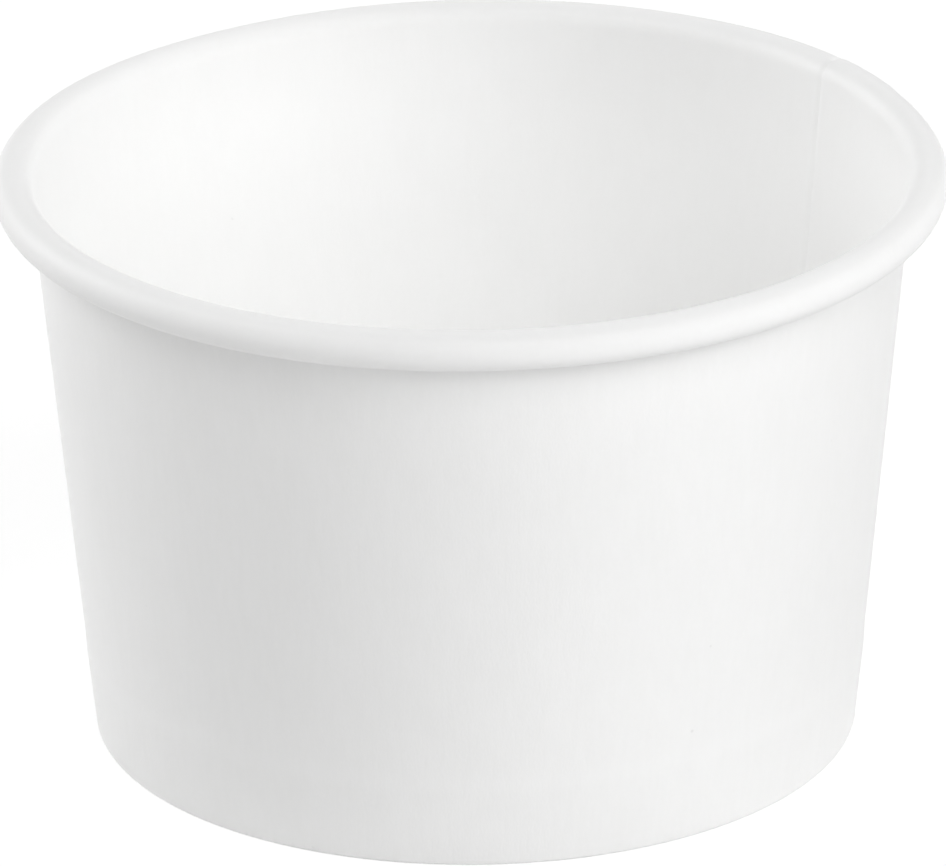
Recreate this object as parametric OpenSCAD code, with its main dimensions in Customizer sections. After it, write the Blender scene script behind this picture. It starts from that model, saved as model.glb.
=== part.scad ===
// Squat paper cup for a sundae: a rolled board wall with a curled rim, and a recessed base.
// The cup stands on its foot ring at z = 0, with its axis on +Z. All sizes are in millimetres.

/* [Cup] */
// Diameter over the rim curl
rim_d = 96; // [70:0.5:130]
// Outside diameter of the foot
foot_d = 77.6; // [60:0.1:84]
// Height from the foot to the top of the rim
cup_h = 60.2; // [35:0.1:120]

/* [Board] */
// Thickness of the wall's board
wall_t = 0.4; // [0.25:0.01:0.6]
// Thickness of the base's board
base_t = 0.4; // [0.25:0.01:0.6]
// Clearance that the sealing film takes between two layers of board
seal_film = 0.02; // [0.01:0.005:0.05]

/* [Rim curl] */
// Diameter of the rolled rim
curl_d = 4; // [2.6:0.1:6]
// Clearance between the cut edge of the curl and the wall
curl_gap = 0.12; // [0.05:0.01:0.4]

/* [Foot] */
// Height of the base's underside over the foot
base_up = 9; // [5:0.1:16]
// Clearance between the base's underside and the cut edge of the hem
hem_gap = 1.8; // [1.2:0.1:3]
// Inside radius of the bend at the base's edge
base_bend = 0.5; // [0.3:0.05:1.2]

/* [Lap seam] */
// Direction of the wall's inner cut edge, from +X toward +Y
lap_at = 35.5; // [0:0.5:359.5]
// Width of the overlap
lap_w = 7; // [4:0.5:12]
// How far the outer layer stands out once it is pressed
lap_rise = 0.24; // [0.1:0.01:0.4]
// Width of the groove that the inner cut edge leaves
groove_w = 0.5; // [0.3:0.05:1]
// Depth of that groove
groove_deep = 0.15; // [0.05:0.01:0.2]

/* [Hidden] */
$fn = 240;

// Straight pieces in a half turn of a rolled or folded edge
ARC_STEPS = 24;
// How far a cut or an added layer runs past the face that it crosses
REACH = 0.1;

foot_r = foot_d / 2;
curl_r = curl_d / 2;
curl_centre = [rim_d / 2 - curl_r, cup_h - curl_r];

// The wall's inner face leaves the curl as a tangent, which sets the taper.
taper_run = curl_centre[0] - foot_r;
taper = acos((curl_r - wall_t) / norm([taper_run, curl_centre[1]])) - atan2(curl_centre[1], taper_run);
// Directions square to the wall, away from the axis and toward it
out_dir = -taper;
in_dir = 180 - taper;
// The curl turns until its cut edge is the named gap from the wall.
curl_turn = 360 - acos((curl_r - wall_t - curl_gap) / curl_r);

// Distances of the layers at the foot from the wall's outer face
skirt_out = wall_t + seal_film;
skirt_in = skirt_out + base_t;
hem_out = skirt_in + seal_film;
hem_in = hem_out + wall_t;

// The board folds at the foot with its own thickness as the outside radius.
fold_r = wall_t;
hem_top = base_up - hem_gap;
base_top = base_up + base_t;
skirt_end = wall_t + seal_film;
base_bend_out = base_bend + base_t;

// The lap's angles, measured where the wall is half way up
lap_r = foot_r + cup_h / 2 * tan(taper);
lap_turn = lap_w / lap_r * 180 / PI;
groove_turn = groove_w / lap_r * 180 / PI;

// Point at a height, a distance inside the wall's outer face
function in_wall(z, inside) = [foot_r + z * tan(taper) - inside / cos(taper), z];

// Points on an arc from one angle to another
function arc(centre, r, from, to) =
    let (steps = max(2, ceil(abs(to - from) / 180 * ARC_STEPS)))
    [for (i = [0 : steps]) let (a = from + (to - from) * i / steps) centre + r * [cos(a), sin(a)]];

// Section of the wall: up its outer face, round the curl and back, down its inner face and round the hem
function wall_section() = concat(
    arc(in_wall(fold_r, fold_r), fold_r, -90, out_dir),
    arc(curl_centre, curl_r - wall_t, in_dir, in_dir - curl_turn),
    arc(curl_centre, curl_r, in_dir - curl_turn, in_dir),
    [in_wall(wall_t, wall_t), in_wall(wall_t, hem_out), in_wall(hem_top, hem_out), in_wall(hem_top, hem_in)],
    arc(in_wall(fold_r, hem_in - fold_r), fold_r, in_dir, 270)
);

// Section of the base: along its underside, down and up the skirt, and back along its top
function base_section() =
    let (bend_z = base_top - base_bend_out, bend_centre = in_wall(bend_z, skirt_out + base_bend_out))
    concat(
        [[0, base_up]],
        arc(bend_centre, base_bend, 90, out_dir),
        [in_wall(skirt_end, skirt_in), in_wall(skirt_end, skirt_out)],
        arc(bend_centre, base_bend_out, out_dir, 90),
        [[0, base_top]]
    );

// Section of the outer layer where the wall's ends overlap, from the fold up into the curl
function lap_section() = [
    in_wall(fold_r, wall_t - REACH),
    in_wall(fold_r, -lap_rise),
    in_wall(curl_centre[1], -lap_rise),
    in_wall(curl_centre[1], wall_t - REACH)
];

// Section of the groove along the inner cut edge, from the base up the wall and over the curl
function groove_section() = concat(
    [in_wall(base_top, wall_t - groove_deep)],
    arc(curl_centre, curl_r - groove_deep, in_dir, 0),
    arc(curl_centre, curl_r + REACH, 0, in_dir),
    [in_wall(base_top, wall_t + REACH)]
);

// A section swept round the axis through part of a turn
module sweep(section, from, turn) {
    rotate([0, 0, from])
        rotate_extrude(angle = turn)
            polygon(section);
}

module sidewall() {
    color("#f5f5f3")
        difference() {
            union() {
                rotate_extrude()
                    polygon(wall_section());
                sweep(lap_section(), lap_at - lap_turn, lap_turn);
            }
            sweep(groove_section(), lap_at, groove_turn);
        }
}

module base_disc() {
    color("#efefec")
        rotate_extrude()
            polygon(base_section());
}

sidewall();
base_disc();
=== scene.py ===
"""A squat paper sundae cup, dressed for its portrait.

The cup is two pieces of white board, sealed together. The wall is one rolled sheet: its two ends overlap
in a lap seam, its top edge is rolled outward into the rim, and its bottom edge is folded in and up as the
hem of the foot. The base is a disc whose edge is turned down into a skirt, which the wall and the hem hold
between them.

Sizes are in millimetres up to the moment a mesh is written, and the frame is in metres.
"""

import logging
import math
from dataclasses import dataclass, field
from enum import Enum
from typing import NamedTuple, Union

import bpy
import numpy as np
from mathutils import Matrix, Vector


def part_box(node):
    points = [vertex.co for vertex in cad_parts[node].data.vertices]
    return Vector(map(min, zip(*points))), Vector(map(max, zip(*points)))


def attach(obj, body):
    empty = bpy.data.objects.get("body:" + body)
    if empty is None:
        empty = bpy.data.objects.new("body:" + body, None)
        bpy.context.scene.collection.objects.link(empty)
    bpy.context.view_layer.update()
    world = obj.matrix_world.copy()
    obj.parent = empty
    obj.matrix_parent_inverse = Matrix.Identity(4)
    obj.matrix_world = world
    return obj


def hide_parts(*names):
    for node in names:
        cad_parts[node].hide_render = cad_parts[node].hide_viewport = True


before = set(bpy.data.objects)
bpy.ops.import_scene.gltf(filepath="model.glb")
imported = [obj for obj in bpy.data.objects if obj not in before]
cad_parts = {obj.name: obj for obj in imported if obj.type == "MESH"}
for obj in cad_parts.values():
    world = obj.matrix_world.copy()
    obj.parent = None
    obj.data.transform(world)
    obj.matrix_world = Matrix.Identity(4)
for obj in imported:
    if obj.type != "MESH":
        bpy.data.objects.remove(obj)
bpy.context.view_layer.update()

MM = 0.001
LOG = logging.getLogger("paper_cup")
# How often light is followed from white board to white board
WHITE_BOUNCES = 16
# Name of the map that textures are baked through
BAKE_MAP = "OFBake"
# Edges that turn more than this are shaded as sharp
SHARP_ANGLE = math.radians(50.0)
# Turn of the rim's curl after which the lap shows on it in full
FULL_ROLL = math.radians(60.0)
FULL_TURN = 2 * math.pi
BLACK = (0.0, 0.0, 0.0)
WHITE = (1.0, 1.0, 1.0)

Colour = tuple[float, float, float]
Place = tuple[float, float]
Number = Union[float, "Shade"]


class Face(Enum):
    """The three kinds of surface on a piece of board, by material index."""

    COATED = 0
    PLAIN = 1
    CUT = 2


# Shader trees


class Noise(NamedTuple):
    """A cloudy noise over a surface.

    Attributes:
        scale: Blotches per millimetre along each axis.
        detail: How many finer layers it has.
    """

    scale: tuple[float, float, float]
    detail: float


class Shade:
    """An output of a shader tree that Python's arithmetic works on."""

    def __init__(self, tree: "ShaderTree", socket: bpy.types.NodeSocket) -> None:
        """Wraps a socket of a tree."""
        self.tree = tree
        self.socket = socket

    def __add__(self, other: Number) -> "Shade":
        """Sum of two values."""
        return self.tree.math("ADD", self, other)

    __radd__ = __add__

    def __sub__(self, other: Number) -> "Shade":
        """This value less another."""
        return self.tree.math("SUBTRACT", self, other)

    def __rsub__(self, other: Number) -> "Shade":
        """Another value less this one."""
        return self.tree.math("SUBTRACT", other, self)

    def __mul__(self, other: Number) -> "Shade":
        """Product of two values."""
        return self.tree.math("MULTIPLY", self, other)

    __rmul__ = __mul__


class ShaderTree:
    """The nodes of a material or of the world."""

    MIX_FACTOR, MIX_A, MIX_B, MIX_RESULT = 0, 6, 7, 2
    # How much each finer layer of a noise still counts
    NOISE_ROUGHNESS = 0.55

    def __init__(self, owner: bpy.types.ID) -> None:
        """Empties the owner's node tree.

        Args:
            owner: A material or a world.
        """
        owner.use_nodes = True
        self.nodes = owner.node_tree.nodes
        self.links = owner.node_tree.links
        self.nodes.clear()

    def node(
        self,
        kind: str,
        settings: dict[str, object] | None = None,
        inputs: dict[str | int, object] | None = None,
        output: str | int = 0,
    ) -> Shade:
        """Adds a node.

        Args:
            kind: The node's type without its ShaderNode prefix.
            settings: The node's properties, which are set first.
            inputs: A value or a Shade for each socket, by name or index.
            output: The output that is wanted, by name or index.

        Returns:
            That output, or the node's input side if it has no outputs.
        """
        made = self.nodes.new("ShaderNode" + kind)
        for name, value in (settings or {}).items():
            setattr(made, name, value)
        for key, value in (inputs or {}).items():
            if isinstance(value, Shade):
                self.links.new(value.socket, made.inputs[key])
            else:
                made.inputs[key].default_value = value
        return Shade(self, made.outputs[output] if made.outputs else made.inputs[0])

    def math(self, operation: str, *values: Number, clamp: bool = False) -> Shade:
        """Adds a Math node on up to three values and returns its result."""
        return self.node("Math", {"operation": operation, "use_clamp": clamp}, dict(enumerate(values)))

    def step(self, value: Number, low: float, high: float) -> Shade:
        """A smooth step from 0 at low to 1 at high."""
        settings = {"interpolation_type": "SMOOTHSTEP"}
        return self.node("MapRange", settings, {"Value": value, "From Min": low, "From Max": high})

    def mix(self, factor: Number, a: Colour | Shade, b: Colour | Shade) -> Shade:
        """Mixes two colours.

        Args:
            factor: The share of b.
            a: The colour at 0.
            b: The colour at 1.

        Returns:
            The mixed colour.
        """
        ends = [end if isinstance(end, Shade) else (*end, 1.0) for end in (a, b)]
        inputs = {self.MIX_FACTOR: factor, self.MIX_A: ends[0], self.MIX_B: ends[1]}
        return self.node("Mix", {"data_type": "RGBA"}, inputs, self.MIX_RESULT)

    def stretched(self, place: Shade, scale: tuple[float, float, float]) -> Shade:
        """A place multiplied along each axis."""
        return self.node("VectorMath", {"operation": "MULTIPLY"}, {0: place, 1: scale})

    def noise(self, place: Shade, kind: Noise) -> Shade:
        """Cloudy noise over a place.

        Args:
            place: The place in millimetres.
            kind: The noise's scale and detail.

        Returns:
            The noise, about 0.5 on average.
        """
        inputs = {
            "Vector": self.stretched(place, kind.scale),
            "Scale": 1.0,
            "Detail": kind.detail,
            "Roughness": self.NOISE_ROUGHNESS,
        }
        return self.node("TexNoise", {}, inputs)

    def seen_directly(self) -> Shade:
        """1 for rays that show a thing to the camera, straight or in gloss or glass, and 0 for the rest."""
        kinds = ("Is Camera Ray", "Is Glossy Ray", "Is Transmission Ray")
        camera, gloss, glass = (self.node("LightPath", output=kind) for kind in kinds)
        return self.math("ADD", camera + gloss, glass, clamp=True)


# Finishes


@dataclass(frozen=True)
class BoardFinish:
    """One surface of white paper board.

    Attributes:
        name: The material's name.
        light: Colour of the clear board.
        dark: Colour where the pulp lies thick.
        roughness: How matt the surface is.
        relief: Depth of the fibres, in millimetres.
        grain: Depth of the board's long grain, in millimetres.
        crease: Depth of the pressing creases near the foot, in millimetres.
        crease_top: Height where those creases end, in millimetres.
        painted_sheen: Painted sheen: how much whiter the board is made in a band where the base's edge
            presses it, from 0 to 1.
        painted_crest_shade: Painted shade: how much darker the board is made along the top of the rim's
            curl, from 0 to 1.
        painted_crest_shade_z: Heights between which that painted shade sets in, in millimetres.
    """

    name: str
    light: Colour
    dark: Colour
    roughness: float
    relief: float
    grain: float
    crease: float = 0.0
    crease_top: float = 9.5
    painted_sheen: float = 0.0
    painted_crest_shade: float = 0.0
    painted_crest_shade_z: tuple[float, float] = (59.45, 60.2)

    FIBRE = Noise((4.6, 4.6, 2.0), 3.0)
    GRAIN = Noise((1.5, 1.5, 0.2), 2.0)
    CLOUD = Noise((0.2, 0.2, 0.13), 4.0)
    CREASE = Noise((0.8, 0.8, 0.12), 2.0)
    SPECK = Noise((0.55, 0.55, 0.55), 1.0)
    # Shares of the clouds, the grain and the fibres in the board's tone
    CLOUD_SHARE, GRAIN_SHARE, FIBRE_SHARE = 0.35, 0.35, 0.3
    # Tones between which the board goes from thick pulp to clear
    PULP_TONES = (0.32, 0.68)
    # Noise between which a speck sets in, its strength, and its colour as a share of the thick pulp's
    SPECK_TONES, SPECK_STRENGTH, SPECK_DARK = (0.80, 0.84), 0.5, 0.8
    # How far the band of painted sheen reaches up and down, and how far its middle lies under the creases'
    # end
    BURNISH_W, BURNISH_UNDER = 1.8, 0.3
    # Height over which the creases fade out
    CREASE_FADE = 1.5
    # How far the fibres swing the roughness, about their mean
    ROUGH_SWING, NOISE_MEAN = 0.08, 0.5
    SPECULAR = 0.35

    def material(self) -> bpy.types.Material:
        """Builds the node material.

        Returns:
            The material.
        """
        made = bpy.data.materials.new(self.name)
        tree = ShaderTree(made)
        place = tree.stretched(tree.node("TexCoord", output="Object"), (1 / MM,) * 3)
        z = tree.node("SeparateXYZ", {}, {0: place}, "Z")
        fibre = tree.noise(place, self.FIBRE)
        grain = tree.noise(place, self.GRAIN)

        height = self.relief * fibre + self.grain * grain
        if self.crease:
            near_foot = 1.0 - tree.step(z, self.crease_top - self.CREASE_FADE, self.crease_top)
            height = height + self.crease * near_foot * tree.noise(place, self.CREASE)
        bump = tree.node("Bump", {}, {"Strength": 1.0, "Distance": MM, "Height": height})

        shader = tree.node(
            "BsdfPrincipled",
            {},
            {
                "Base Color": self._colour(tree, place, z, fibre, grain),
                "Roughness": self.roughness + self.ROUGH_SWING * (fibre - self.NOISE_MEAN),
                "Specular IOR Level": self.SPECULAR,
                "Normal": bump,
            },
        )
        tree.node("OutputMaterial", {}, {"Surface": shader})
        return made

    def _colour(self, tree: ShaderTree, place: Shade, z: Shade, fibre: Shade, grain: Shade) -> Shade:
        """The board's colour, with its clouds and its specks, a painted sheen where the base's edge presses
        it and painted shade along the top of the rim's curl.

        Args:
            tree: The material's nodes.
            place: The place in millimetres.
            z: The height in millimetres.
            fibre: The fibres' noise.
            grain: The long grain's noise.

        Returns:
            The colour.
        """
        cloud = tree.noise(place, self.CLOUD)
        tone = self.CLOUD_SHARE * cloud + self.GRAIN_SHARE * grain + self.FIBRE_SHARE * fibre
        colour = tree.mix(tree.step(tone, *self.PULP_TONES), self.dark, self.light)
        # Painted sheen: the board is made whiter in a band where the base's edge presses the wall
        if self.painted_sheen:
            middle = self.crease_top - self.BURNISH_UNDER
            rise = tree.step(z, self.crease_top - self.BURNISH_W, middle)
            fall = tree.step(z, middle, self.crease_top + self.BURNISH_W)
            colour = tree.mix(self.painted_sheen * rise * (1.0 - fall), colour, WHITE)
        # Painted shade: the board is made darker along the top of the rim's curl, where less light falls
        # from above
        if self.painted_crest_shade:
            colour = tree.mix(self.painted_crest_shade * tree.step(z, *self.painted_crest_shade_z), colour, BLACK)
        speck = tree.step(tree.noise(place, self.SPECK), *self.SPECK_TONES)
        speck_colour = tuple(self.SPECK_DARK * part for part in self.dark)
        return tree.mix(speck * self.SPECK_STRENGTH, colour, speck_colour)


@dataclass(frozen=True)
class SweepFinish:
    """The plain pale floor, which reads as white to the camera and keeps the cup's shadow.

    Attributes:
        bounce: Share of the light that the floor throws back at the cup.
        shadow: Share of the seen floor that is lit, so that shadows show in it.
        glow: Share that is white by itself.
        fade: Distances from the cup between which the floor turns plain white, in metres.
    """

    bounce: float = 0.8
    shadow: float = 0.33
    glow: float = 0.75
    fade: tuple[float, float] = (0.2, 0.6)

    def material(self) -> bpy.types.Material:
        """Builds the node material.

        Returns:
            The material.
        """
        made = bpy.data.materials.new("pale_floor")
        tree = ShaderTree(made)
        place = tree.node("TexCoord", output="Object")
        length = tree.node("VectorMath", {"operation": "LENGTH"}, {0: place}, "Value")
        far = tree.step(length, *self.fade)
        card = tree.node("BsdfDiffuse", {}, {"Color": (self.bounce,) * 3 + (1.0,)})
        lit = tree.node("BsdfDiffuse", {}, {"Color": (self.shadow,) * 3 + (1.0,)})
        glow = tree.node("Emission", {}, {"Color": (*WHITE, 1.0), "Strength": self.glow})
        near = tree.node("AddShader", {}, {0: lit, 1: glow})
        white = tree.node("Emission", {}, {"Color": (*WHITE, 1.0), "Strength": 1.0})
        seen = tree.node("MixShader", {}, {0: far, 1: near, 2: white})
        surface = tree.node("MixShader", {}, {0: tree.seen_directly(), 1: card, 2: seen})
        tree.node("OutputMaterial", {}, {"Surface": surface})
        return made


# Sizes


@dataclass(frozen=True)
class CupSizes:
    """The cup's sizes, in millimetres and degrees, as the construction has them.

    Attributes:
        rim_r: Radius over the rim.
        height: Height over all.
        base_top: Height of the base's upper face.
        foot_r: Outside radius at the foot.
        curl_r: Radius of the rolled rim's section.
        curl_gap: Clearance between the curl's cut edge and the wall.
        wall_t: Thickness of the wall's board.
        base_t: Thickness of the base's board.
        film: Clearance of the sealing film between two layers.
        hem_gap: Clearance between the hem's cut edge and the base.
        base_bend: Inside radius of the bend at the base's edge.
        crease_r: Inside radius of the folds at the foot.
        lap_at: Direction of the wall's inner cut edge, from +X toward +Y.
        lap_w: Width of the overlap.
    """

    rim_r: float
    height: float
    base_top: float
    foot_r: float = 38.8
    curl_r: float = 2.0
    curl_gap: float = 0.12
    wall_t: float = 0.4
    base_t: float = 0.4
    film: float = 0.02
    hem_gap: float = 1.8
    base_bend: float = 0.5
    crease_r: float = 0.05
    lap_at: float = 35.5
    lap_w: float = 7.0

    @classmethod
    def from_frame(cls) -> "CupSizes":
        """Reads the outer sizes from the frame's boxes.

        Returns:
            The sizes.
        """
        low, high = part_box("sidewall")
        base_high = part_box("base_disc")[1]
        return cls(rim_r=(high.x - low.x) / 2 / MM, height=high.z / MM, base_top=base_high.z / MM)

    @property
    def curl_centre(self) -> np.ndarray:
        """Centre of the rolled rim's section, as radius and height."""
        return np.array([self.rim_r - self.curl_r, self.height - self.curl_r])

    @property
    def taper(self) -> float:
        """Angle of the wall from upright, in radians. Its inner face leaves the curl as a tangent."""
        run, rise = self.curl_centre - (self.foot_r, 0.0)
        return math.acos((self.curl_r - self.wall_t) / math.hypot(run, rise)) - math.atan2(rise, run)

    @property
    def curl_turn(self) -> float:
        """Angle of the curl, in radians, at which its cut edge is the gap from the wall."""
        return FULL_TURN - math.acos((self.curl_r - self.wall_t - self.curl_gap) / self.curl_r)

    @property
    def skirt_out(self) -> float:
        """Distance of the skirt's outer face from the wall's."""
        return self.wall_t + self.film

    @property
    def hem_in(self) -> float:
        """Distance of the hem's inner face from the wall's outer face."""
        return self.skirt_out + self.base_t + self.film + self.wall_t

    @property
    def hem_top(self) -> float:
        """Height of the hem's cut edge."""
        return self.base_top - self.base_t - self.hem_gap

    @property
    def lap_turn(self) -> float:
        """Angle of the overlap, in radians, half way up the wall."""
        return self.lap_w / (self.foot_r + self.height / 2 * math.tan(self.taper))

    def in_wall(self, z: float, inside: float) -> np.ndarray:
        """Point of the section at a height, a distance inside the wall's outer face."""
        return np.array([self.foot_r + z * math.tan(self.taper) - inside / math.cos(self.taper), z])


# Sections


def smooth(value: np.ndarray, low: float, high: float) -> np.ndarray:
    """A smooth step from 0 at low to 1 at high."""
    share = np.clip((value - low) / (high - low), 0.0, 1.0)
    return share * share * (3.0 - 2.0 * share)


def ray(angle: float) -> np.ndarray:
    """The direction of an angle in the section, of length 1."""
    return np.array([math.cos(angle), math.sin(angle)])


class Stations(NamedTuple):
    """Points along the section of a sheet, on the face that the cup shows outside.

    Attributes:
        place: Radius and height of each point.
        toward: Direction through the sheet, from that face to the other.
        pressed: How far the foot's fold flattens the sheet there, from 0 to 1.
        rolled: How far the sheet is into the rim's curl there, from 0 to 1.
    """

    place: np.ndarray
    toward: np.ndarray
    pressed: np.ndarray
    rolled: np.ndarray

    def length(self) -> np.ndarray:
        """Length along the section up to each point."""
        steps = np.linalg.norm(np.diff(self.place, axis=0), axis=1)
        return np.concatenate([[0.0], np.cumsum(steps)])


def joined(parts: list[Stations]) -> Stations:
    """Puts stretches of a section end to end, leaving out each point that repeats the one before it."""
    kept = [parts[0]] + [Stations(*(column[1:] for column in part)) for part in parts[1:]]
    return Stations(*(np.concatenate(columns) for columns in zip(*kept)))


def straight(
    start: np.ndarray, end: np.ndarray, steps: int, angle: float, pressed: float = 0.0
) -> Stations:
    """A straight stretch of a section.

    Args:
        start: First point.
        end: Last point.
        steps: Number of pieces.
        angle: Direction through the sheet, in radians.
        pressed: How flat the fold presses it.

    Returns:
        The stretch's stations.
    """
    share = np.linspace(0.0, 1.0, steps + 1)[:, None]
    place = start + (end - start) * share
    toward = np.tile(ray(angle), (steps + 1, 1))
    return Stations(place, toward, np.full(steps + 1, pressed), np.zeros(steps + 1))


def bend(
    centre: np.ndarray,
    radius: float,
    start: float,
    end: float,
    steps: int,
    through: int,
    fold: bool = False,
) -> Stations:
    """A round stretch of a section.

    Args:
        centre: Centre of the bend.
        radius: Radius of the face that the cup shows outside.
        start: First angle, in radians.
        end: Last angle, in radians.
        steps: Number of pieces.
        through: 1 if the sheet lies outside that radius, -1 if inside.
        fold: True for the folds that the foot presses flat.

    Returns:
        The stretch's stations.
    """
    angle = np.linspace(start, end, steps + 1)
    rays = np.stack([np.cos(angle), np.sin(angle)], axis=1)
    none = np.zeros(steps + 1)
    pressed = np.clip(through * rays[:, 1], 0.0, 1.0) ** 2 if fold else none
    rolled = smooth(np.abs(angle - start), 0.0, FULL_ROLL) if through > 0 else none
    return Stations(centre + radius * rays, through * rays, pressed, rolled)


# Meshes


class ChartBox(NamedTuple):
    """A box of the map that textures are baked to.

    Attributes:
        low: Its first corner.
        high: Its opposite corner.
    """

    low: Place
    high: Place

    def lay(self, along: np.ndarray, across: np.ndarray) -> np.ndarray:
        """Lays a grid into the box.

        Args:
            along: Position of each row, from 0 to 1.
            across: Position of each column, from 0 to 1.

        Returns:
            A place for each point of the grid.
        """
        share = np.stack(np.meshgrid(along, across, indexing="ij"), axis=-1)
        return np.array(self.low) + share * (np.array(self.high) - self.low)


class ChartDisc(NamedTuple):
    """A disc of the map that textures are baked to.

    Attributes:
        centre: Its middle.
        scale: The map's share for a millimetre.
    """

    centre: Place
    scale: float = 0.005

    def lay(self, angle: np.ndarray, length: np.ndarray) -> np.ndarray:
        """Lays points into the disc.

        Args:
            angle: Direction of each point, in radians.
            length: Its distance from the middle along the sheet, in millimetres.

        Returns:
            A place for each point.
        """
        rays = np.stack([np.cos(angle), np.sin(angle)], axis=-1)
        return np.array(self.centre) + self.scale * length[..., None] * rays


class Patch(NamedTuple):
    """Faces of one kind of surface.

    Attributes:
        kind: The kind of surface.
        corners: Numbers of the points at each face's corners.
        chart: Place of each corner on the map that textures are baked to.
    """

    kind: Face
    corners: np.ndarray
    chart: np.ndarray


def quilt(kind: Face, rows: np.ndarray, chart: np.ndarray, flip: bool = False) -> Patch:
    """Makes the faces of a grid of points.

    Args:
        kind: The kind of surface.
        rows: Numbers of the points, row by row.
        chart: Place of each point on the bake's map.
        flip: True to turn the faces over.

    Returns:
        The patch.
    """

    def cells(values: np.ndarray) -> np.ndarray:
        """The four corners of each cell."""
        around = [values[:-1, :-1], values[:-1, 1:], values[1:, 1:], values[1:, :-1]]
        stacked = np.stack(around[::-1] if flip else around, axis=2)
        return stacked.reshape(-1, 4, *values.shape[2:])

    return Patch(kind, cells(rows), cells(chart))


def round_points(angle: np.ndarray, radius: np.ndarray, z: np.ndarray) -> np.ndarray:
    """Points at directions, radii and heights."""
    return np.stack([radius * np.cos(angle), radius * np.sin(angle), z + 0 * angle], axis=-1)


def piece_from(name: str, points: np.ndarray, patches: list[Patch]) -> bpy.types.Object:
    """Writes a mesh object.

    Args:
        name: The piece's name.
        points: Its points, in millimetres.
        patches: Its faces.

    Returns:
        The piece, linked to the scene.
    """
    mesh = bpy.data.meshes.new(name)
    corners = np.concatenate([patch.corners for patch in patches])
    mesh.from_pydata((points * MM).tolist(), [], corners.tolist())
    kinds = np.concatenate([np.full(len(patch.corners), patch.kind.value) for patch in patches])
    mesh.polygons.foreach_set("material_index", kinds)
    mesh.polygons.foreach_set("use_smooth", np.ones(len(kinds), dtype=bool))
    chart = mesh.uv_layers.new(name=BAKE_MAP)
    chart.data.foreach_set("uv", np.concatenate([patch.chart.ravel() for patch in patches]))
    mesh.set_sharp_from_angle(angle=SHARP_ANGLE)
    mesh.validate()
    piece = bpy.data.objects.new(name, mesh)
    bpy.context.scene.collection.objects.link(piece)
    return piece


# Pieces


@dataclass(frozen=True)
class Slack:
    """A stretch of the rim that stands away from the true round.

    Attributes:
        at: Direction of its middle, in degrees from +X toward +Y.
        reach: Angle to either side within which it mostly fades, in degrees.
        out: How far it stands out, in millimetres.
        up: How far it stands up, in millimetres.
    """

    at: float
    reach: float
    out: float
    up: float

    def share(self, angle: np.ndarray) -> np.ndarray:
        """How much of it holds in each direction, from 0 to 1."""
        turn = np.angle(np.exp(1j * (angle - math.radians(self.at))))
        return np.exp(-((turn / math.radians(self.reach)) ** 2))


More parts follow.
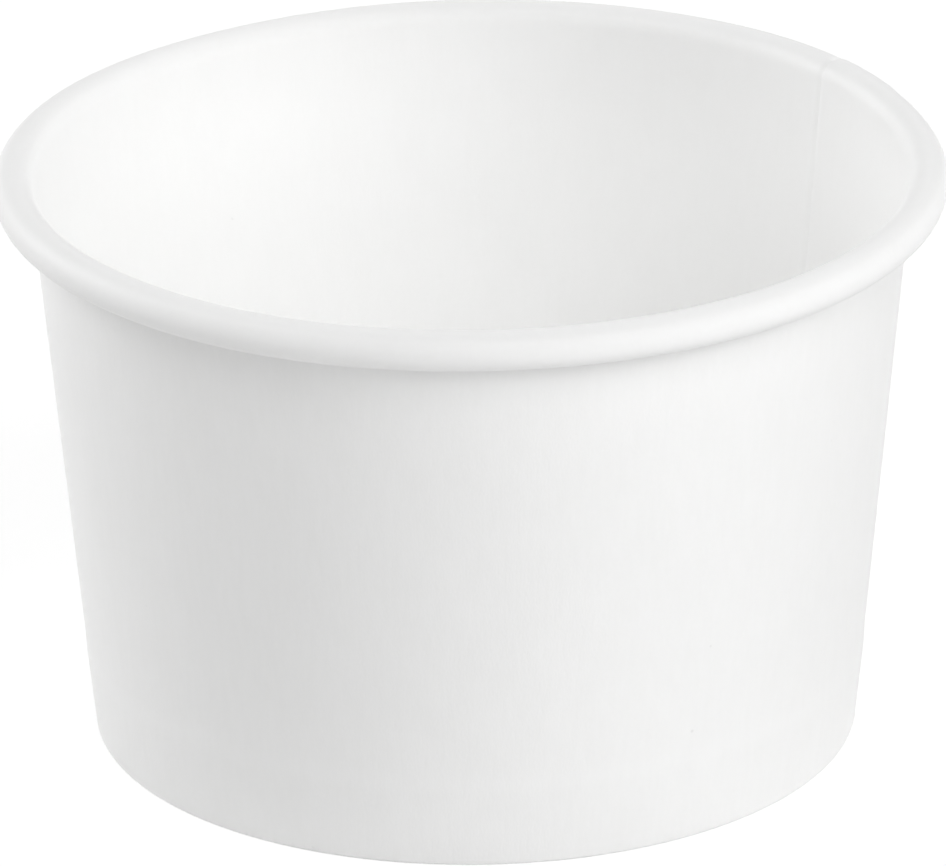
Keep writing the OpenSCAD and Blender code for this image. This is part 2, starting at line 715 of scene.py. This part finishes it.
@dataclass
class Sidewall:
    """The rolled wall, as one continuous sheet of board.

    Attributes:
        sizes: The cup's sizes.
        lap_layer: Thickness of each layer where the lap is pressed.
        lap_edge: Thickness that the inner layer is pressed to at its cut edge.
        rim_edge: The same on the rim's curl, where it is pressed less.
        lap_film: Gap between the layers of the lap.
        lap_swell: How far the lap swells the rim's curl.
        ramp: Width over which the outer layer climbs onto the inner one's edge.
        ease: Width over which the board swells back to its full thickness.
        edge_round: Rounding of the cut edges.
        edge_roll: How far the face that shows rolls off at the lap's cut edges.
        roll_w: Width over which it does so.
        ridge: How far the base's edge presses the wall out.
        ridge_w: Half the height over which it does so, before the wall runs back to its line at the foot.
        waves: Height of the rim's faint waves round the axis, by their number.
        slack: Stretches of the rim that stand away from the true round.
    """

    sizes: CupSizes
    lap_layer: float = 0.315
    lap_edge: float = 0.1
    rim_edge: float = 0.24
    lap_film: float = 0.01
    lap_swell: float = 0.09
    ramp: float = 0.7
    ease: float = 1.8
    edge_round: float = 0.08
    edge_roll: float = 0.06
    roll_w: float = 0.5
    ridge: float = 0.08
    ridge_w: float = 1.2
    waves: dict[int, float] = field(default_factory=lambda: {3: 0.03, 5: 0.025, 7: 0.02})
    slack: tuple[Slack, ...] = (Slack(38.0, 20.0, 0.30, 0.32), Slack(124.0, 22.0, -0.10, -0.20))

    HEM_STEPS, FOLD_STEPS, FOOT_STEPS, RIDGE_STEPS, WALL_STEPS, CURL_STEPS = 5, 5, 6, 12, 18, 40
    # Step round the axis, and how much finer it is in each stretch from the inner cut edge to the outer one
    TURN_STEP = math.radians(0.9)
    FINENESS = (9, 4, 2, 4, 1, 6, 4, 2, 9)
    # Most of a layer that the rounding of its edge takes from either face
    TRIM_SHARE = 0.25
    # Thicknesses of board within which a point is on the outer wall and not on the hem
    ON_WALL = 1.5
    COATED_CHART = ChartBox((0.02, 0.53), (0.98, 0.99))
    PLAIN_CHART = ChartBox((0.02, 0.01), (0.98, 0.47))
    INNER_EDGE_CHART = ChartBox((0.004, 0.53), (0.01, 0.99))
    OUTER_EDGE_CHART = ChartBox((0.99, 0.53), (0.996, 0.99))
    HEM_EDGE_CHART = ChartBox((0.02, 0.485), (0.98, 0.491))
    CURL_EDGE_CHART = ChartBox((0.02, 0.505), (0.98, 0.511))

    def stations(self) -> Stations:
        """The sheet's section, from the hem's cut edge round the foot, up the wall and round the curl.

        Returns:
            The section's stations.
        """
        s = self.sizes
        outward, inward, down = -s.taper, math.pi - s.taper, 1.5 * math.pi
        fold = s.wall_t + s.crease_r
        inner_fold = s.in_wall(fold, s.hem_in - fold)
        outer_fold = s.in_wall(fold, fold)
        hem_edge = s.in_wall(s.hem_top - self.edge_round, s.hem_in)
        hem_end = inner_fold + fold * ray(inward)
        wall_start = outer_fold + fold * ray(outward)
        under_ridge = s.in_wall(s.base_top - 2 * self.ridge_w, 0.0)
        over_ridge = s.in_wall(s.base_top + 2 * self.ridge_w, 0.0)
        curl_in = s.curl_r - s.wall_t
        curl_start = s.curl_centre + curl_in * ray(inward)
        return joined(
            [
                straight(s.in_wall(s.hem_top, s.hem_in), hem_edge, 1, outward),
                straight(hem_edge, hem_end, self.HEM_STEPS, outward),
                bend(inner_fold, fold, inward, down, self.FOLD_STEPS, -1, fold=True),
                straight(inner_fold - (0, fold), outer_fold - (0, fold), 2, math.pi / 2, pressed=1.0),
                bend(outer_fold, fold, down, FULL_TURN + outward, self.FOLD_STEPS, -1, fold=True),
                straight(wall_start, under_ridge, self.FOOT_STEPS, inward),
                straight(under_ridge, over_ridge, self.RIDGE_STEPS, inward),
                straight(over_ridge, curl_start, self.WALL_STEPS, inward),
                bend(s.curl_centre, curl_in, inward, inward - s.curl_turn, self.CURL_STEPS, 1),
            ]
        )

    def turns(self) -> np.ndarray:
        """Angles along the sheet from its inner cut edge, closer together at the lap.

        Returns:
            The angles, in radians.
        """
        lap = self.sizes.lap_turn
        roll, ramp, ease = np.array([self.roll_w, self.ramp, self.ease]) / self.sizes.foot_r
        end = FULL_TURN + lap
        start_marks = [0.0, roll, ease, lap, lap + ease]
        end_marks = [FULL_TURN - ramp, FULL_TURN, FULL_TURN + ease, end - roll, end]
        marks = start_marks + end_marks
        runs = [
            np.linspace(a, b, max(2, round((b - a) / self.TURN_STEP * fine)), endpoint=False)
            for a, b, fine in zip(marks, marks[1:], self.FINENESS)
        ]
        return np.concatenate([*runs, [end]])

    def layers(self, turn: np.ndarray, stations: Stations) -> tuple[np.ndarray, np.ndarray]:
        """Depths of the sheet's two faces, outward from the inside of the cup.

        Args:
            turn: Angles along the sheet.
            stations: The sheet's section.

        Returns:
            The coated face's and the plain face's depth for each angle and station.
        """
        s = self.sizes
        lap = s.lap_turn
        roll, ramp, ease = np.array([self.roll_w, self.ramp, self.ease]) / s.foot_r
        under = turn[:, None]
        over = under - FULL_TURN
        past_lap = smooth(under, lap, lap + ease)
        climb = smooth(over, -ramp, 0.0)

        # Thickness of the sheet where it is the lap's inner layer, and where it is the outer one
        layer = self.lap_layer + ((s.wall_t - self.lap_film) / 2 - self.lap_layer) * stations.pressed
        edge = self.lap_edge + (self.rim_edge - self.lap_edge) * stations.rolled
        into_lap = np.where(over > -ramp, over, under)
        inner = edge + (layer - edge) * smooth(into_lap, 0.0, ease)
        inner = inner + (s.wall_t - layer) * past_lap * (over < -ramp)
        outer = s.wall_t + (layer - s.wall_t) * smooth(over, -ramp, ease)

        # Depths of the faces, with the lap pressed flat in the folds and swollen on the curl
        swell = self.lap_swell * stations.rolled * (1.0 - past_lap + climb)
        inside = (inner + self.lap_film) * climb
        thick = np.where(over < -ramp, inner, outer)
        rise = 2 * self.lap_layer + self.lap_film - s.wall_t
        outside = np.minimum(inside + thick, s.wall_t + rise * (1.0 - stations.pressed)) - swell

        # Faces that roll off at the lap's cut edges, and the rounding of all four edges
        inside = inside - swell + self.edge_roll * np.clip(1.0 - under / roll, 0.0, 1.0) ** 2
        outside = outside - self.edge_roll * np.clip(1.0 - (under[-1] - under) / roll, 0.0, 1.0) ** 2
        for rim in (np.s_[0], np.s_[-1], np.s_[:, 0], np.s_[:, -1]):
            trim = np.minimum(self.edge_round, (outside[rim] - inside[rim]) * self.TRIM_SHARE)
            inside[rim] += trim
            outside[rim] -= trim
        return inside, outside

    def settled(
        self, angle: np.ndarray, radius: np.ndarray, z: np.ndarray
    ) -> tuple[np.ndarray, np.ndarray]:
        """Gives the ideal shape its ridge and the slight waves of real board.

        Args:
            angle: Direction of each point round the axis.
            radius: Its ideal radius.
            z: Its height.

        Returns:
            The radius and height that it settles at.
        """
        s = self.sizes
        freedom = smooth(z, s.base_top, s.height)
        wave = sum(size * np.cos(count * (angle + count)) for count, size in self.waves.items())
        on_wall = radius > s.foot_r + z * math.tan(s.taper) - self.ON_WALL * s.wall_t
        under, over = s.base_top - self.ridge_w, s.base_top + self.ridge_w
        ridge = self.ridge * on_wall * (1.0 - smooth(z, under, over)) * smooth(z, 0.0, under)
        out, up = wave, wave
        for part in self.slack:
            share = part.share(angle)
            out = out + part.out * share
            up = up + part.up * share
        return radius + freedom * out + ridge, z + freedom * up

    def build(self) -> bpy.types.Object:
        """Writes the sheet as one closed mesh.

        Returns:
            The piece.
        """
        s = self.sizes
        stations, turn = self.stations(), self.turns()
        inside, outside = self.layers(turn, stations)
        angle = math.radians(s.lap_at) - turn[:, None]
        faces = []
        for depth in (inside, outside):
            section = stations.place + stations.toward * (s.wall_t - depth[..., None])
            radius, z = self.settled(angle, section[..., 0], section[..., 1])
            faces.append(round_points(angle, radius, z).reshape(-1, 3))

        coated = np.arange(inside.size).reshape(inside.shape)
        plain = coated + inside.size
        along, across = turn / turn[-1], stations.length() / stations.length()[-1]
        edge = np.array([0.0, 1.0])
        inner_edge = np.stack([coated[0], plain[0]])
        outer_edge = np.stack([plain[-1], coated[-1]])
        hem_edge = np.stack([coated[:, 0], plain[:, 0]], axis=1)
        curl_edge = np.stack([plain[:, -1], coated[:, -1]], axis=1)
        patches = [
            quilt(Face.COATED, coated, self.COATED_CHART.lay(along, across), flip=True),
            quilt(Face.PLAIN, plain, self.PLAIN_CHART.lay(along, across)),
            quilt(Face.CUT, inner_edge, self.INNER_EDGE_CHART.lay(edge, across)),
            quilt(Face.CUT, outer_edge, self.OUTER_EDGE_CHART.lay(edge, across)),
            quilt(Face.CUT, hem_edge, self.HEM_EDGE_CHART.lay(along, edge)),
            quilt(Face.CUT, curl_edge, self.CURL_EDGE_CHART.lay(along, edge)),
        ]
        return piece_from("sidewall_board", np.concatenate(faces), patches)

    def dress(self, piece: bpy.types.Object, materials: list[bpy.types.Material]) -> None:
        """Gives the wall its finishes and its place in the frame.

        Args:
            piece: The wall's object.
            materials: The materials, in the order of Face.
        """
        for material in materials:
            piece.data.materials.append(material)
        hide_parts("sidewall")
        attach(piece, "root")


@dataclass
class BaseDisc:
    """The base, as a disc of board with a turned-down skirt.

    Attributes:
        sizes: The cup's sizes.
        sag: How far the middle of the disc sags.
        waves: Height of the disc's slight waves.
        pleats: Number of small pleats at the bend.
        pleat: Depth of those pleats.
    """

    sizes: CupSizes
    sag: float = 0.15
    waves: float = 0.05
    pleats: int = 48
    pleat: float = 0.03

    CORE_STEPS, RIM_STEPS, BEND_STEPS, SKIRT_STEPS = 36, 10, 8, 6
    # Width of the ring between the disc's square grid and its bend
    RIM_W = 3.0
    # Depth under the top where the skirt no longer follows the disc
    SKIRT_DEPTH = 2.0
    # Width along the disc's edge that doesn't sag
    LEVEL_W = 1.0
    # Waves round the axis, and the distance outward over which they turn by a radian
    WAVE_COUNT, WAVE_TWIST = 2, 9.0
    # Distance of the pleats from the wall, and half their length
    PLEAT_IN, PLEAT_W = 1.1, 0.6
    TOP_CHART, UNDER_CHART = ChartDisc((0.25, 0.7)), ChartDisc((0.75, 0.7))
    EDGE_CHART = ChartBox((0.02, 0.1), (0.98, 0.11))

    def stations(self) -> Stations:
        """The disc's section, from near its edge out along its top, round the bend and down the skirt.

        Returns:
            The section's stations.
        """
        s = self.sizes
        bend_r = s.base_bend + s.base_t
        centre = s.in_wall(s.base_top - bend_r, s.skirt_out + bend_r)
        outward = -s.taper
        skirt_start = centre + bend_r * ray(outward)
        skirt_end = s.in_wall(s.wall_t + s.film, s.skirt_out)
        rim = centre + (0.0, bend_r)
        return joined(
            [
                straight(rim - (self.RIM_W, 0.0), rim, self.RIM_STEPS, -math.pi / 2),
                bend(centre, bend_r, math.pi / 2, outward, self.BEND_STEPS, -1),
                straight(skirt_start, skirt_end, self.SKIRT_STEPS, math.pi - s.taper),
            ]
        )

    def core(self) -> tuple[np.ndarray, np.ndarray]:
        """A square grid, bent so that its square rings are circles.

        Returns:
            The direction of each point and its share of the outer radius.
        """
        steps = np.arange(-self.CORE_STEPS, self.CORE_STEPS + 1)
        x, y = np.meshgrid(steps, steps, indexing="ij")
        longest = np.maximum(np.abs(x), np.abs(y))
        wide = np.abs(x) >= np.abs(y)
        safe = np.maximum(longest, 1)
        x_sign, y_sign = np.where(x < 0, -1, 1), np.where(y < 0, -1, 1)
        sideways = np.where(x < 0, math.pi, 0.0) + math.pi / 4 * y / (x_sign * safe)
        upward = np.where(y < 0, 1.5, 0.5) * math.pi - math.pi / 4 * x / (y_sign * safe)
        return np.where(wide, sideways, upward) % FULL_TURN, longest / self.CORE_STEPS

    def settled(self, angle: np.ndarray, radius: np.ndarray, z: np.ndarray) -> np.ndarray:
        """Gives the flat disc its sag, its slight waves and the pleats near its bend.

        Args:
            angle: Direction of each point round the axis.
            radius: Its radius.
            z: Its ideal height.

        Returns:
            The height that it settles at.
        """
        s = self.sizes
        reach = s.in_wall(s.base_top, s.skirt_out)[0]
        level = smooth(z, s.base_top - self.SKIRT_DEPTH, s.base_top - s.base_t)
        sag = self.sag * (1.0 - smooth(radius, 0.0, reach - self.LEVEL_W))
        swirl = np.sin(self.WAVE_COUNT * angle + radius / self.WAVE_TWIST)
        wave = self.waves * swirl * np.sin(math.pi * radius / reach)
        near_bend = np.exp(-(((radius - reach + self.PLEAT_IN) / self.PLEAT_W) ** 2))
        pleat = self.pleat * near_bend * (0.5 + 0.5 * np.cos(self.pleats * angle))
        return z - level * (sag + wave + pleat)

    def build(self) -> bpy.types.Object:
        """Writes the disc as one closed mesh.

        Returns:
            The piece.
        """
        s = self.sizes
        stations = self.stations()
        core_angle, share = self.core()
        core_r = stations.place[0, 0]

        # Numbers of the points: the square grid, then the rows that lead on from its outermost ring
        ring = np.flatnonzero(share.ravel() == 1.0)
        ring = ring[np.argsort(core_angle.ravel()[ring])]
        angle = core_angle.ravel()[ring][:, None]
        outer_steps = len(stations.place) - 1
        half = share.size + len(ring) * outer_steps
        core = np.arange(share.size).reshape(share.shape)
        outer = share.size + np.arange(len(ring) * outer_steps).reshape(len(ring), outer_steps)
        rows = np.concatenate([ring[:, None], outer], axis=1)
        rows = np.concatenate([rows, rows[:1]])
        length = core_r + stations.length()[None, :]
        turns = np.concatenate([angle, angle[:1]])

        points, patches = [], []
        for kind, drop, start, chart in (
            (Face.COATED, 0.0, 0, self.TOP_CHART),
            (Face.PLAIN, s.base_t, half, self.UNDER_CHART),
        ):
            section = stations.place + stations.toward * drop
            core_z = np.full(share.shape, section[0, 1])
            for turn, radius, z in (
                (core_angle, share * core_r, core_z),
                (angle, section[None, 1:, 0], section[None, 1:, 1]),
            ):
                settled_z = self.settled(turn, radius, z)
                points.append(round_points(turn, radius, settled_z).reshape(-1, 3))
            under = kind is Face.PLAIN
            core_chart = chart.lay(core_angle, share * core_r)
            outer_chart = chart.lay(turns + 0 * length, length + 0 * turns)
            patches.append(quilt(kind, core + start, core_chart, flip=not under))
            patches.append(quilt(kind, rows + start, outer_chart, flip=under))
        along, edge = np.linspace(0.0, 1.0, len(rows)), np.array([0.0, 1.0])
        cut = np.stack([rows[:, -1], rows[:, -1] + half], axis=1)
        patches.append(quilt(Face.CUT, cut, self.EDGE_CHART.lay(along, edge)))
        return piece_from("base_board", np.concatenate(points), patches)

    def dress(self, piece: bpy.types.Object, materials: list[bpy.types.Material]) -> None:
        """Gives the base its finishes and its place in the frame.

        Args:
            piece: The base's object.
            materials: The materials, in the order of Face.
        """
        for material in materials:
            piece.data.materials.append(material)
        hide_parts("base_disc")
        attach(piece, "root")


# Studio


@dataclass(frozen=True)
class Softbox:
    """A square soft light that faces the cup.

    Attributes:
        name: Its name.
        azimuth: Direction from the cup, from the camera's side toward the right, in degrees.
        elevation: Height over the horizon, in degrees.
        level: How bright a white card at the cup looks when it faces this light alone.
        size: Length of a side, in metres.
        distance: Distance from the cup, in metres.
    """

    name: str
    azimuth: float
    elevation: float
    level: float
    size: float = 1.2
    distance: float = 2.0

    def build(self, target: Vector) -> bpy.types.Object:
        """Hangs the light.

        Args:
            target: The point that it faces.

        Returns:
            The light's object.
        """
        across, up = math.radians(self.azimuth), math.radians(self.elevation)
        level_run = math.cos(up)
        away = Vector((math.sin(across) * level_run, -math.cos(across) * level_run, math.sin(up)))
        lamp = bpy.data.lights.new(self.name, "AREA")
        lamp.shape = "SQUARE"
        lamp.size = self.size
        lamp.energy = self.level * (math.pi * self.distance) ** 2
        made = bpy.data.objects.new(self.name, lamp)
        made.location = target + away * self.distance
        made.rotation_euler = (-away).to_track_quat("-Z", "Y").to_euler()
        made.visible_camera = False
        bpy.context.scene.collection.objects.link(made)
        return made


@dataclass(frozen=True)
class Studio:
    """Floor, light and camera.

    Attributes:
        softboxes: The lights.
        image: Width and height of the picture, in pixels.
        focal: The camera's focal length, in pixels.
        distance: Distance from the camera to its aim, in millimetres.
        pitch: How far the camera looks down, in degrees.
        roll: How far it leans, in degrees.
        aim: The point in the middle of the picture, in millimetres.
        floor_size: Length of the floor's side, in metres.
    """

    softboxes: tuple[Softbox, ...]
    image: tuple[int, int] = (946, 866)
    focal: float = 11854.0
    distance: float = 1202.4
    pitch: float = 22.5
    roll: float = -0.573
    aim: tuple[float, float, float] = (-0.03, 0.0, 30.52)
    floor_size: float = 12.0

    SENSOR_MM = 36.0
    # Nearest and farthest distance that the camera sees, in metres
    NEAR, FAR = 0.05, 50.0

    def build(self) -> None:
        """Sets up the whole studio."""
        self._floor()
        self._world()
        self._camera()
        for softbox in self.softboxes:
            softbox.build(Vector(self.aim) * MM)

    def _floor(self) -> None:
        """Lays the floor under the cup."""
        half = self.floor_size / 2
        mesh = bpy.data.meshes.new("floor")
        corners = [(-half, -half, 0.0), (half, -half, 0.0), (half, half, 0.0), (-half, half, 0.0)]
        mesh.from_pydata(corners, [], [(0, 1, 2, 3)])
        mesh.materials.append(SweepFinish().material())
        floor = bpy.data.objects.new("floor", mesh)
        bpy.context.scene.collection.objects.link(floor)

    def _world(self) -> None:
        """Makes the surroundings white to the eye, without any light of their own."""
        world = bpy.data.worlds.new("studio")
        bpy.context.scene.world = world
        tree = ShaderTree(world)
        sky = tree.node("Background", {}, {"Color": (*WHITE, 1.0), "Strength": tree.seen_directly()})
        tree.node("OutputWorld", {}, {"Surface": sky})

    def _camera(self) -> None:
        """Places the camera at the photograph's viewing angle."""
        data = bpy.data.cameras.new("camera")
        data.sensor_fit = "HORIZONTAL"
        data.sensor_width = self.SENSOR_MM
        data.lens = self.focal / self.image[0] * self.SENSOR_MM
        data.clip_start, data.clip_end = self.NEAR, self.FAR
        down = math.radians(self.pitch)
        back = Vector((0.0, -math.cos(down), math.sin(down)))
        place = Matrix.Translation((Vector(self.aim) + back * self.distance) * MM)
        turned = (-back).to_track_quat("-Z", "Y").to_matrix().to_4x4()
        lean = Matrix.Rotation(math.radians(self.roll), 4, "Z")
        camera = bpy.data.objects.new("camera", data)
        camera.matrix_world = place @ turned @ lean
        bpy.context.scene.collection.objects.link(camera)
        bpy.context.scene.camera = camera


COATED_BOARD = BoardFinish(
    name="coated_board",
    light=(0.945, 0.945, 0.942),
    dark=(0.933, 0.933, 0.929),
    roughness=0.53,
    relief=0.008,
    grain=0.004,
    # Painted shade along the top of the rim's curl
    painted_crest_shade=0.06,
)
PLAIN_BOARD = BoardFinish(
    name="plain_board",
    light=(0.94, 0.94, 0.936),
    dark=(0.922, 0.922, 0.917),
    roughness=0.55,
    relief=0.014,
    grain=0.010,
    crease=0.02,
    # Painted sheen in the band that the base's edge presses
    painted_sheen=0.07,
)
CUT_BOARD = BoardFinish(
    name="cut_board",
    light=(0.93, 0.925, 0.915),
    dark=(0.87, 0.862, 0.845),
    roughness=0.75,
    relief=0.03,
    grain=0.0,
)
FINISHES = {Face.COATED: COATED_BOARD, Face.PLAIN: PLAIN_BOARD, Face.CUT: CUT_BOARD}

SOFTBOXES = (
    Softbox("key", 60.0, 25.0, 0.19),
    Softbox("key_high", 30.0, 42.0, 0.375),
    Softbox("right", 75.0, 17.0, 0.196),
    Softbox("back_right", 150.0, 45.0, 0.292),
    Softbox("back_left", -120.0, 22.0, 0.425),
    Softbox("left", -98.0, 42.0, 0.262),
    Softbox("front", -10.0, 26.0, 0.185),
)


def main() -> None:
    """Builds the cup and the studio round it."""
    logging.basicConfig(level=logging.INFO, format="%(name)s: %(message)s")
    scene = bpy.context.scene
    scene.view_settings.view_transform = "Standard"
    scene.cycles.max_bounces = WHITE_BOUNCES
    scene.cycles.diffuse_bounces = WHITE_BOUNCES
    sizes = CupSizes.from_frame()
    materials = [FINISHES[kind].material() for kind in Face]
    for part in (Sidewall(sizes), BaseDisc(sizes)):
        piece = part.build()
        part.dress(piece, materials)
        LOG.info("%s: %d faces", piece.name, len(piece.data.polygons))
    Studio(SOFTBOXES).build()


if __name__ == "__main__":
    main()
